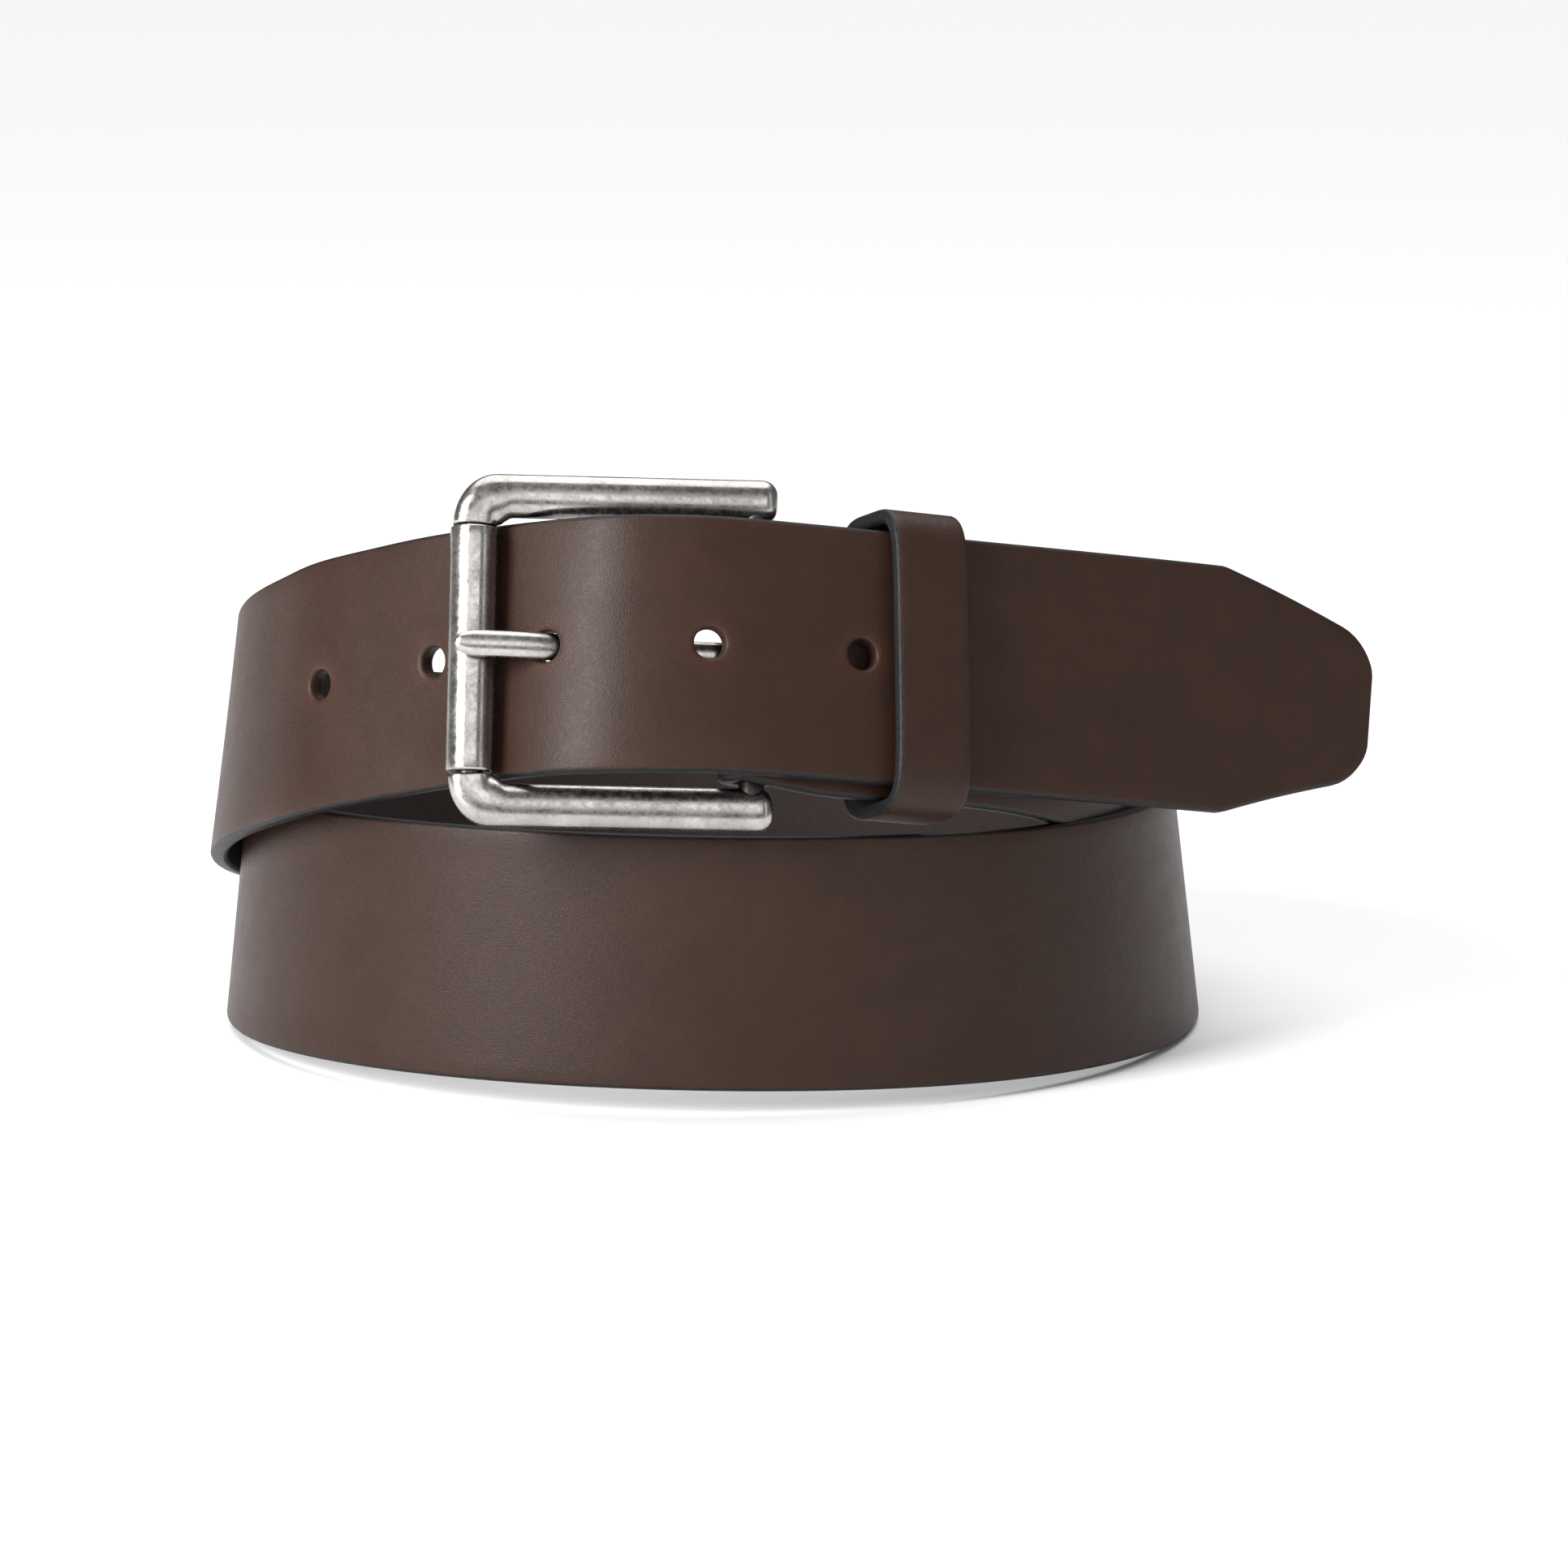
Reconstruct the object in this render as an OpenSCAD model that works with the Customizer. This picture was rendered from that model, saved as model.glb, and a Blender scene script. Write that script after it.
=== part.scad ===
// Leather belt, buckled and coiled: one strap that goes round twice, a roller buckle, and a keeper.
// Millimetres. +X is the way the free tail points, -Y is the front, Z is up. The belt rests at z = 0.

/* [Strap] */
// Width of the strap
strap_w = 40; // [34:0.5:41]
// Thickness of the leather
strap_t = 3; // [2:0.1:3]
// Diameter of the punched holes
hole_d = 4.8; // [3:0.1:6]
// Distance from one hole to the next
hole_pitch = 25; // [20:0.5:27]
// Distance from the tip back to where the sides start to taper
taper_length = 29; // [20:1:36]
// Slope of each tapered side, in degrees
taper_angle = 17; // [8:1:24]
// Radius of the corners at the tip
tip_corner_r = 6.5; // [3:0.5:9]

/* [Buckle] */
// Thickness of the frame from front to back
frame_t = 4.8; // [3.5:0.1:5.5]
// Height of each arm of the frame
arm_h = 6.8; // [5:0.1:9]
// Distance between the two arms
arm_gap = 41.7; // [41.6:0.1:43]
// Distance from the heel bar to the roller
bar_spacing = 43.7; // [43.3:0.1:44.1]
// How far the arms reach past the heel bar
arm_past_bar = 3.4; // [3.2:0.1:8]
// Diameter of the heel bar and of the bar inside the roller
bar_d = 4; // [3:0.1:4.2]
// Outer diameter of the roller
roller_d = 7.4; // [6.5:0.1:7.5]
// Width of the prong
prong_w = 4.2; // [3:0.1:4.6]
// Thickness of the prong
prong_t = 2.4; // [1.8:0.1:2.6]

/* [Keeper] */
// Width of the keeper along the strap
keeper_w = 13; // [8:0.5:15]
// Thickness of the keeper's leather
keeper_t = 2.3; // [1.6:0.1:2.3]
// Free height inside the keeper
keeper_gap_h = 43.6; // [43.6:0.1:44.4]
// Free depth inside the keeper
keeper_gap_d = 14.8; // [14.6:0.1:15.6]

/* [Hidden] */

// Moves the coil's centre so that the belt's box stands centred on the origin, its foot at z = 0.
centring = [-11.79, 6.34, 0.135];

// Rows are [x, y, height of the centre line, lean of the top edge inward in degrees].
// The layer behind the tail runs from the fold to the right of the keeper.
inner_rows = [
    [14.5, -77.3, 70.8, 16.5], [20.5, -74.7, 69.3, 16.5], [28.5, -71, 68.2, 15.5],
    [38, -64.6, 66.4, 12]
];
// The return flap lies on the inside of that layer, and comes closer as it leaves the bar.
flap_steps = [5.6, 4, 3.4, 3.3];
// Rows are [turn in degrees from the front, radius, height of the centre line, lean].
coil_rows = [
    [47, 74.2, 62, 6], [66, 73.6, 53.6, 1], [90, 73.6, 45.5, -1], [120, 73.6, 39, -2],
    [150, 73.6, 35, -1.5], [180, 73.8, 31.5, -1], [210, 74.6, 27.5, 1], [240, 77.1, 22.8, 3],
    [270, 78.9, 20.4, 6], [300, 78.7, 22, 6.8], [330, 78.5, 23.6, 6.4], [360, 78.3, 23.7, 6],
    [390, 78.6, 22.4, 6], [420, 78.8, 20.8, 6], [450, 78.6, 20, 7], [480, 79, 20, 4.5],
    [510, 79.4, 20.5, 1.5], [540, 79.4, 22.5, 1], [570, 79.8, 27, 2], [600, 80.6, 33.8, 4],
    [625, 80.6, 43.7, 6.5], [645, 80.1, 53, 8.5], [660, 79.6, 59.2, 10]
];
// From the upper left, under the roller, over the heel bar and out along the tail.
front_rows = [
    [-61.6, -50, 63.2, 11], [-52.8, -57.4, 66.1, 11.5], [-44.7, -63.7, 68.6, 10],
    [-35.5, -71.1, 71.1, 11.5], [-26, -79.7, 73.5, 16], [-17, -84.9, 74.9, 18], [-8, -86.2, 75.3, 18],
    [2, -84.8, 74.9, 18], [13, -81.2, 73.55, 18], [24, -76.6, 71.9, 17], [33, -72, 70.4, 16.5],
    [44, -65.9, 68.5, 16], [57, -58.9, 66.3, 15], [71, -51.3, 63.9, 14.5], [85, -43.7, 61.4, 14],
    [96, -37.7, 58.9, 13.5], [107, -31.8, 56.1, 13]
];
// The fold round the heel bar, as angles seen along the bar.
fold_angles = [75, 110, 145, 180, 215, 250, 285];
fold_r = 3.8;

// Buckle layout, seen along the heel bar: x runs to the right, y inward, z up.
buckle_at = [7.25, -75.6, 71.75] + centring;
buckle_turn = [-17, 1.8, 3];
function turn_x(a, p) = [p[0], p[1] * cos(a) - p[2] * sin(a), p[1] * sin(a) + p[2] * cos(a)];
function turn_y(a, p) = [p[0] * cos(a) + p[2] * sin(a), p[1], p[2] * cos(a) - p[0] * sin(a)];
function turn_z(a, p) = [p[0] * cos(a) - p[1] * sin(a), p[0] * sin(a) + p[1] * cos(a), p[2]];
function buckle_way(p) = turn_z(buckle_turn[2], turn_y(buckle_turn[1], turn_x(buckle_turn[0], p)));

// Every row of the curve is a point and the way to the strap's top edge, six numbers in all.
function unit(v) = v / norm(v);
function chord_side(list, i) =
    let (d = list[min(i + 1, len(list) - 1)] - list[max(i - 1, 0)]) unit([d[1], -d[0], 0]);
function top_way(side, lean) = [0, 0, cos(lean)] - side * sin(lean);
function leaning_row(p, side, lean) = concat([p[0], p[1], p[2]] + centring, top_way(side, lean));
function listed_rows(list) =
    [for (i = [0 : len(list) - 1]) leaning_row(list[i], chord_side(list, i), list[i][3])];
function stepped_row(row, side, step) = leaning_row(row - concat(side * step, 0), side, row[3]);
function turned_row(r) =
    let (side = [sin(r[0]), -cos(r[0]), 0])
    leaning_row(concat([side[0], side[1]] * r[1], r[2]), side, r[3]);
inner_last = len(inner_rows) - 1;
rows = concat(
    [for (i = [inner_last : -1 : 0]) stepped_row(inner_rows[i], chord_side(inner_rows, i), flap_steps[i])],
    [for (a = fold_angles)
        concat(buckle_at + buckle_way([fold_r * cos(a), fold_r * sin(a), 0]), buckle_way([0, 0, 1]))],
    listed_rows(inner_rows),
    [for (r = coil_rows) turned_row(r)],
    listed_rows(front_rows)
);
last_row = len(rows) - 1;
inner_start = len(inner_rows) + len(fold_angles);
front_start = inner_start + len(inner_rows) + len(coil_rows);

// A smooth curve through the rows: each control point is moved so that the curve meets its row.
function control(i) =
    i <= 0 ? rows[0] + min(i, 0) * (rows[1] - rows[0]) :
    i >= last_row ? rows[last_row] + (i - last_row) * (rows[last_row] - rows[last_row - 1]) :
    (8 * rows[i] - rows[i - 1] - rows[i + 1]) / 6;
function on_curve(t) =
    let (i = min(floor(t), last_row - 1), u = t - i)
    ((1 - u) ^ 3 * control(i - 1) + (3 * u ^ 3 - 6 * u ^ 2 + 4) * control(i)
        + (3 * u * (1 + u - u ^ 2) + 1) * control(i + 1) + u ^ 3 * control(i + 2)) / 6;
function place(t) = let (r = on_curve(t)) [r[0], r[1], r[2]];
slope_step = 0.02;
function along(t) = unit(place(min(t + slope_step, last_row)) - place(max(t - slope_step, 0)));
function across(t) =
    let (r = on_curve(t), up = [r[3], r[4], r[5]], a = along(t)) unit(up - (up * a) * a);
function facing(t) = cross(along(t), across(t));

// Length run along the curve, measured from the tip back.
steps_per_row = 3;
// Least distance between two stations, as a share of a row.
station_gap = 0.05;
samples = [for (k = [0 : last_row * steps_per_row]) k / steps_per_row];
function run_lengths(k, total) =
    k < 0 ? [] : concat([[-total, samples[k]]],
        run_lengths(k - 1, k == 0 ? total : total + norm(place(samples[k]) - place(samples[k - 1]))));
tip_table = run_lengths(len(samples) - 1, 0);
function from_tip(d) = lookup(-d, tip_table);
tip_table_back = [for (r = tip_table) [r[1], -r[0]]];
function tip_distance(t) = lookup(t, tip_table_back);

// Where things sit along the strap, by row number or by distance from the tip.
rows_to_prong_hole = 4.28;
rows_to_keeper = 10;
prong_hole_row = front_start + rows_to_prong_hole;
prong_hole_from_tip = tip_distance(prong_hole_row);
keeper_row = front_start + rows_to_keeper;
tail_row = keeper_row + 1;
seam_gap = 1;
seam_from_tip = tip_distance(tail_row);
rows_to_fasteners = 0.6;
fastener_row = inner_start + rows_to_fasteners;
hole_count = 5;
hole_before_prong = 2;

// Half of the strap's width at a distance from the tip.
function corner_cut(d) =
    d >= tip_corner_r ? 0 : tip_corner_r - sqrt(tip_corner_r ^ 2 - (tip_corner_r - d) ^ 2);
function half_width(d) =
    strap_w / 2 - max(0, taper_length - d) * tan(taper_angle) - corner_cut(d);

// Fits and small sizes of the buckle.
bar_fit = 0.02;
turning_fit = 0.08;
roller_gap = 0.4;
bar_in_arm = 3;
pad_h = 1.3;
roller_past_pad = 0.2;
frame_corner_r = 1.5;
ring_d = 7.4;
ring_overlap = 0.05;
prong_rest_gap = 0.3;
fold_slot_w = 6.4;
// The slot in the fold lets the prong's ring through; it runs a little past the fold at both ends.
fold_slot_past = 0.34;
fold_slot_rows = [len(inner_rows) - 1 - fold_slot_past, inner_start + fold_slot_past];
fine = 64;
eps = 0.01;

// Fastener sizes: a hollow post with a flat head, and the screw that goes into it.
post_d = 5;
post_head_d = 9;
head_t = 0.8;
screw_shank_d = 3;
driver_slot_l = 6.3;
driver_slot_w = 1;
fastener_spacing = 20;
fastener_fit = 0.1;
layer_step = 3.9;
recess_t = 1;
screw_head_at = layer_step + strap_t / 2 + 1;

// Staples that join the ends of the keeper.
staple_d = 0.9;
staple_h = 9;
staple_spacing = 6;
staple_leg = 2;
stack_middle = 4.65;
keeper_drop = 0.2;
// How square the keeper's outline is; 2 would be an ellipse.
keeper_inner_power = 6;
keeper_outer_power = 5;
oval_steps = 72;

// Joint limits that the slot for the prong must leave room for.
prong_slot_l = 12.5;
prong_slot_w = 5.4;
prong_slot_deep = 14;

// Puts a piece on the strap: x along it, y inward, z across it and up.
module on_strap(t) {
    x = along(t);
    y = -facing(t);
    z = across(t);
    turn = atan2(x[1], x[0]);
    pitch = -asin(x[2]);
    roll = atan2(y[2], z[2]);
    translate(place(t)) rotate([roll, pitch, turn]) children();
}

module in_buckle() {
    translate(buckle_at) rotate(buckle_turn) children();
}

// One cross-section of the leather: the inner face's four points, then the outer face's.
function section(t) =
    let (h = half_width(tip_distance(t)), e = strap_t / 2, v = fold_slot_w / 2, p = place(t), w = across(t),
        n = facing(t))
    [for (q = [[-h, -e], [-v, -e], [v, -e], [h, -e], [h, e], [v, e], [-v, e], [-h, e]])
        p + w * q[0] + n * q[1]];

// Two triangles between one station and the next.
function quad(m, k, from, to) =
    let (a = k * m + from, b = k * m + to) [[a, a + m, b], [b, a + m, b + m]];

// Sweeps the section along the stations. Between slot[0] and slot[1] the middle is left open.
module leather(stations, slot = [-1, -1]) {
    rings = [for (t = stations) section(t)];
    m = len(rings[0]);
    last = len(rings) - 1;
    open_steps = [for (k = [0 : last - 1]) stations[k] > slot[0] - eps && stations[k + 1] < slot[1] + eps];
    first_open = [for (k = [0 : last - 1]) if (open_steps[k]) k];
    polyhedron(
        points = [for (ring = rings, p = ring) p],
        faces = concat(
            [[for (j = [0 : m - 1]) j]],
            [for (k = [0 : last - 1], j = [0 : m - 1])
                if (!(open_steps[k] && (j == 1 || j == 5))) each quad(m, k, j, (j + 1) % m)],
            [for (k = first_open) each concat(quad(m, k, 1, 6), quad(m, k, 5, 2))],
            len(first_open) == 0 ? [] : [
                [for (j = [6, 5, 2, 1]) first_open[0] * m + j],
                [for (j = [1, 2, 5, 6]) (first_open[len(first_open) - 1] + 1) * m + j]
            ],
            [[for (j = [m - 1 : -1 : 0]) last * m + j]]
        ),
        convexity = 12
    );
}

module punched_hole(t) {
    on_strap(t) rotate([90, 0, 0]) cylinder(h = 3 * strap_t, d = hole_d, center = true, $fn = 32);
}

// The opening that the prong passes through, with room for the prong to lift.
module prong_slot() {
    in_buckle()
        translate([place(prong_hole_row)[0] - buckle_at[0], -prong_slot_deep / 4, 0])
        cube([prong_slot_l, prong_slot_deep, prong_slot_w], center = true);
}

module fastener_places() {
    on_strap(fastener_row)
        for (z = [-1, 1]) translate([0, 0, z * fastener_spacing / 2]) rotate([-90, 0, 0]) children();
}

// The hole through both layers, with a recess for the post's head and one for the screw's head.
module fastener_cut() {
    deep = layer_step + 3 * strap_t;
    recess_d = post_head_d + 2 * fastener_fit;
    translate([0, 0, -strap_t]) cylinder(h = deep, d = post_d + fastener_fit, $fn = fine);
    translate([0, 0, -strap_t]) cylinder(h = strap_t / 2 + recess_t, d = recess_d, $fn = fine);
    translate([0, 0, screw_head_at - fastener_fit]) cylinder(h = strap_t, d = recess_d, $fn = fine);
}

module strap() {
    end_t = from_tip(seam_from_tip + seam_gap / 2);
    stations = concat([for (t = samples) if (t < end_t - station_gap) t], [end_t]);
    color([0.30, 0.22, 0.19]) difference() {
        leather(stations, fold_slot_rows);
        for (i = [-hole_before_prong : hole_count - hole_before_prong - 1])
            if (i != 0) punched_hole(from_tip(prong_hole_from_tip - i * hole_pitch));
        prong_slot();
        fastener_places() fastener_cut();
    }
}

module tail() {
    start_t = from_tip(seam_from_tip - seam_gap / 2);
    tip_part = concat(
        [for (share = [1, 0.7, 0.45]) from_tip(taper_length * share)],
        [for (share = [1, 0.75, 0.5, 0.3, 0.15, 0.05]) from_tip(tip_corner_r * share)],
        [from_tip(eps)]
    );
    middle = [for (t = samples) if (t > start_t + station_gap && t < tip_part[0] - station_gap) t];
    color([0.28, 0.20, 0.17])
        leather(concat([start_t], middle, tip_part));
}

// Outline of the metal's cross-section, with rounded corners; x is the height, y the thickness.
module bar_outline(h) {
    r = frame_corner_r;
    translate([r, -frame_t / 2]) square([h - 2 * r, frame_t]);
    translate([0, r - frame_t / 2]) square([h, frame_t - 2 * r]);
    for (x = [r, h - r], y = [-1, 1]) translate([x, y * (frame_t / 2 - r)]) circle(r, $fn = fine);
}

// One arm: a straight bar, a rounded end, and a corner that comes down to the roller's end.
module frame_arm() {
    base = arm_gap / 2;
    corner_x = roller_d / 2 - bar_spacing - roller_past_pad;
    end_r = arm_h / 2;
    translate([corner_x, 0, base]) rotate([90, 0, 90]) rotate([0, 0, 90]) mirror([0, 1, 0])
        linear_extrude(arm_past_bar - corner_x - end_r) bar_outline(arm_h);
    translate([arm_past_bar - end_r, 0, base + end_r]) rotate([90, 0, 0]) intersection() {
        cylinder(h = frame_t, r = end_r, center = true, $fn = fine);
        translate([0, -end_r, -frame_t]) cube([end_r, 2 * end_r, 2 * frame_t]);
    }
    translate([corner_x, 0, base]) rotate([90, 0, 0]) rotate([0, 0, 90]) intersection() {
        cylinder(h = frame_t, r = arm_h, center = true, $fn = fine);
        translate([0, 0, -frame_t]) cube([2 * arm_h, 2 * arm_h, 2 * frame_t]);
    }
    translate([corner_x - arm_h, -frame_t / 2, base - pad_h]) cube([arm_h, frame_t, pad_h + eps]);
}

module heel_bar_hole() {
    cylinder(h = arm_gap + 2 * bar_in_arm, d = bar_d + 2 * bar_fit, center = true, $fn = fine);
}

// The frame is one casting: two arms and the bar that carries the roller.
module buckle_frame() {
    color([0.60, 0.58, 0.54]) in_buckle() difference() {
        union() {
            frame_arm();
            mirror([0, 0, 1]) frame_arm();
            translate([-bar_spacing, 0, 0])
                cylinder(h = arm_gap + 2 * bar_in_arm, d = bar_d, center = true, $fn = fine);
        }
        heel_bar_hole();
    }
}

module heel_bar() {
    color([0.55, 0.53, 0.50]) in_buckle()
        cylinder(h = arm_gap + 2 * bar_in_arm - 4 * bar_fit, d = bar_d, center = true, $fn = fine);
}

module roller() {
    color([0.66, 0.64, 0.60]) in_buckle() translate([-bar_spacing, 0, 0]) difference() {
        cylinder(h = arm_gap - 2 * pad_h - 2 * roller_gap, d = roller_d, center = true, $fn = fine);
        cylinder(h = arm_gap, d = bar_d + 2 * turning_fit, center = true, $fn = fine);
    }
}

// The prong is bent round the heel bar, passes through the strap and lies on the roller's front.
prong_tip = [-bar_spacing - roller_d / 2 + prong_t, -roller_d / 2 - prong_rest_gap - prong_t / 2];
prong_bend_from_roller = 7;
prong_bend = [-bar_spacing + prong_bend_from_roller, -roller_d / 2];

module prong_shank() {
    h = prong_t / 2;
    polygon([
        [-1, 0], prong_bend + [0, h], prong_tip + [0, h], prong_tip - [0, h], prong_bend - [0, h],
        [-1, -ring_d / 2 + ring_overlap]
    ]);
}

module prong() {
    color([0.64, 0.62, 0.58]) in_buckle() difference() {
        union() {
            cylinder(h = prong_w, d = ring_d, center = true, $fn = fine);
            linear_extrude(prong_w, center = true) prong_shank();
            translate([prong_tip[0], prong_tip[1], 0])
                cylinder(h = prong_w, d = prong_t, center = true, $fn = fine);
        }
        cylinder(h = 2 * prong_w, d = bar_d + 2 * turning_fit, center = true, $fn = fine);
    }
}

// Outline of the keeper, a squarish oval: x is the depth and y the height.
function oval(half_d, half_h, power) =
    [for (k = [0 : oval_steps - 1])
        let (c = cos(360 * k / oval_steps), s = sin(360 * k / oval_steps))
        [half_d * sign(c) * abs(c) ^ (2 / power), half_h * sign(s) * abs(s) ^ (2 / power)]];

module keeper_outline(grow, power) {
    polygon(oval(keeper_gap_d / 2 + grow, keeper_gap_h / 2 + grow, power));
}

module in_keeper() {
    on_strap(keeper_row) translate([0, stack_middle, -keeper_drop]) children();
}

module staple_wires(grow) {
    wire = staple_d + 2 * grow;
    back = keeper_gap_d / 2 + keeper_t;
    for (x = [-0.5, 0.5]) translate([x * staple_spacing, back + staple_d / 2 + bar_fit, 0]) {
        cylinder(h = staple_h + wire, d = wire, center = true, $fn = 24);
        for (z = [-0.5, 0.5]) translate([0, 0, z * staple_h]) rotate([90, 0, 0])
            cylinder(h = staple_leg + grow, d = wire, $fn = 24);
    }
}

module keeper() {
    color([0.27, 0.19, 0.16]) in_keeper() difference() {
        rotate([90, 0, 90]) linear_extrude(keeper_w, center = true) difference() {
            keeper_outline(keeper_t, keeper_outer_power);
            keeper_outline(0, keeper_inner_power);
        }
        staple_wires(bar_fit);
    }
}

module keeper_staples() {
    color([0.5, 0.5, 0.5]) in_keeper() staple_wires(0);
}

// A flat head in the outer recess, and a hollow barrel through both layers.
module fold_posts() {
    color([0.58, 0.56, 0.52]) fastener_places() difference() {
        union() {
            translate([0, 0, recess_t - strap_t / 2 - head_t])
                cylinder(h = head_t, d = post_head_d, $fn = fine);
            translate([0, 0, recess_t - strap_t / 2 - eps])
                cylinder(h = layer_step + strap_t - recess_t, d = post_d, $fn = fine);
        }
        translate([0, 0, recess_t - strap_t / 2 + eps])
            cylinder(h = layer_step + 2 * strap_t, d = screw_shank_d + 2 * bar_fit, $fn = fine);
    }
}

module fold_screws() {
    color([0.58, 0.56, 0.52]) fastener_places() difference() {
        union() {
            translate([0, 0, screw_head_at]) cylinder(h = head_t, d = post_head_d, $fn = fine);
            translate([0, 0, recess_t])
                cylinder(h = screw_head_at - recess_t + eps, d = screw_shank_d, $fn = fine);
        }
        translate([0, 0, screw_head_at + head_t]) cube([driver_slot_l, driver_slot_w, head_t], center = true);
    }
}

strap();
tail();
buckle_frame();
heel_bar();
roller();
prong();
keeper();
keeper_staples();
fold_posts();
fold_screws();
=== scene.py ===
"""Looks of the coiled leather belt: strap, tail, keeper and roller buckle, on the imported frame.

Lengths in this script are in millimetres, and become metres when a mesh is made.
"""

import math

import bmesh
import bpy
import numpy as np
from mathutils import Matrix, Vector


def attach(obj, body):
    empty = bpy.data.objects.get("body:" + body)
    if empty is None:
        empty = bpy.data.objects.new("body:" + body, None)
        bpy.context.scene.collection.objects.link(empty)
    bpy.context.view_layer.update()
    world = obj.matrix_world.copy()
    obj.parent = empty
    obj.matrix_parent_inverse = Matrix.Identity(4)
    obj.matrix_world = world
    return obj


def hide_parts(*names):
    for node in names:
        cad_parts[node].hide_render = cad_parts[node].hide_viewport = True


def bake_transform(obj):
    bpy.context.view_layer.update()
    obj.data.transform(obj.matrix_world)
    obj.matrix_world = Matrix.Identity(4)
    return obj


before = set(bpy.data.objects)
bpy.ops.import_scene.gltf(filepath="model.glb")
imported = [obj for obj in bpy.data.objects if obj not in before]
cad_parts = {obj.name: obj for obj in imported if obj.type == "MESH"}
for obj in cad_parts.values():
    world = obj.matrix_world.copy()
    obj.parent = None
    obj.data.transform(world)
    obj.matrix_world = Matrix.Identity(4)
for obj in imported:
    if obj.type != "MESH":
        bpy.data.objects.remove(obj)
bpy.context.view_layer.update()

MM = 0.001

# ---------------------------------------------------------------- camera

CAMERA_ELEVATION = 9.5
CAMERA_DISTANCE = 1000.0
CAMERA_AIM = (0.21, 6.31, 39.1)
CAMERA_LENS = 136.0
SENSOR_WIDTH = 36.0


def make_camera():
    camera = bpy.data.objects.new("camera", bpy.data.cameras.new("camera"))
    bpy.context.scene.collection.objects.link(camera)
    angle = math.radians(CAMERA_ELEVATION)
    aim = Vector(CAMERA_AIM) * MM
    camera.location = aim + Vector((0, -math.cos(angle), math.sin(angle))) * CAMERA_DISTANCE * MM
    camera.rotation_euler = (math.pi / 2 - angle, 0, 0)
    camera.data.lens = CAMERA_LENS
    camera.data.sensor_width = SENSOR_WIDTH
    bpy.context.scene.camera = camera


make_camera()

# ---------------------------------------------------------------- the strap's path

STRAP_W = 40.0
STRAP_T = 3.0
CENTRING = np.array([-11.79, 6.34, 0.135])
BUCKLE_AT = np.array([7.25, -75.6, 71.75]) + CENTRING
BUCKLE_TURN = (-17.0, 1.8, 3.0)
# The fold round the heel bar, as angles seen along the bar.
FOLD_RADIUS = 3.8
FOLD_ANGLES = (75, 110, 145, 180, 215, 250, 285)
# How far the return flap stands behind the strap at each inner row.
FLAP_STEPS = (5.6, 4.0, 3.4, 3.3)

# Rows are x, y, height of the centre line, lean of the top edge inward in degrees.
INNER_ROWS = [
    (14.5, -77.3, 70.8, 16.5), (20.5, -74.7, 69.3, 16.5), (28.5, -71, 68.2, 15.5), (38, -64.6, 66.4, 12),
]

# Rows are turn in degrees from the front, radius, height of the centre line, lean.
COIL_ROWS = [
    (47, 74.2, 62, 6), (66, 73.6, 53.6, 1), (90, 73.6, 45.5, -1), (120, 73.6, 39, -2),
    (150, 73.6, 35, -1.5), (180, 73.8, 31.5, -1), (210, 74.6, 27.5, 1), (240, 77.1, 22.8, 3),
    (270, 78.9, 20.4, 6), (300, 78.7, 22, 6.8), (330, 78.5, 23.6, 6.4), (360, 78.3, 23.7, 6),
    (390, 78.6, 22.4, 6), (420, 78.8, 20.8, 6), (450, 78.6, 20, 7), (480, 79, 20, 4.5),
    (510, 79.4, 20.5, 1.5), (540, 79.4, 22.5, 1), (570, 79.8, 27, 2), (600, 80.6, 33.8, 4),
    (625, 80.6, 43.7, 6.5), (645, 80.1, 53, 8.5), (660, 79.6, 59.2, 10),
]

# From the upper left, under the roller, over the heel bar and out along the tail: x, y, height, lean.
FRONT_ROWS = [
    (-61.6, -50, 63.2, 11), (-52.8, -57.4, 66.1, 11.5), (-44.7, -63.7, 68.6, 10),
    (-35.5, -71.1, 71.1, 11.5), (-26, -79.7, 73.5, 16), (-17, -84.9, 74.9, 18), (-8, -86.2, 75.3, 18),
    (2, -84.8, 74.9, 18), (13, -81.2, 73.55, 18), (24, -76.6, 71.9, 17), (33, -72, 70.4, 16.5),
    (44, -65.9, 68.5, 16), (57, -58.9, 66.3, 15), (71, -51.3, 63.9, 14.5), (85, -43.7, 61.4, 14),
    (96, -37.7, 58.9, 13.5), (107, -31.8, 56.1, 13),
]


def rotation(degrees_xyz):
    """The matrix of a turn about X, then Y, then Z."""
    matrix = np.identity(3)
    for axis, degrees in enumerate(degrees_xyz):
        c = math.cos(math.radians(degrees))
        s = math.sin(math.radians(degrees))
        one = np.identity(3)
        j, k = (axis + 1) % 3, (axis + 2) % 3
        one[j, j], one[j, k], one[k, j], one[k, k] = c, -s, s, c
        matrix = one @ matrix
    return matrix


BUCKLE_AXES = rotation(BUCKLE_TURN)


def unit(vectors):
    return vectors / np.linalg.norm(vectors, axis=-1, keepdims=True)


def chord_side(rows, i):
    """The level direction out of the coil at a row, from its neighbours."""
    step = np.subtract(rows[min(i + 1, len(rows) - 1)], rows[max(i - 1, 0)])
    return unit(np.array([step[1], -step[0], 0.0]))


def leaning_row(point, side, lean):
    """A point of the curve and the way to the strap's top edge there, six numbers in all."""
    up = np.array([0, 0, math.cos(math.radians(lean))]) - side * math.sin(math.radians(lean))
    return np.concatenate([np.array(point) + CENTRING, up])


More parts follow.
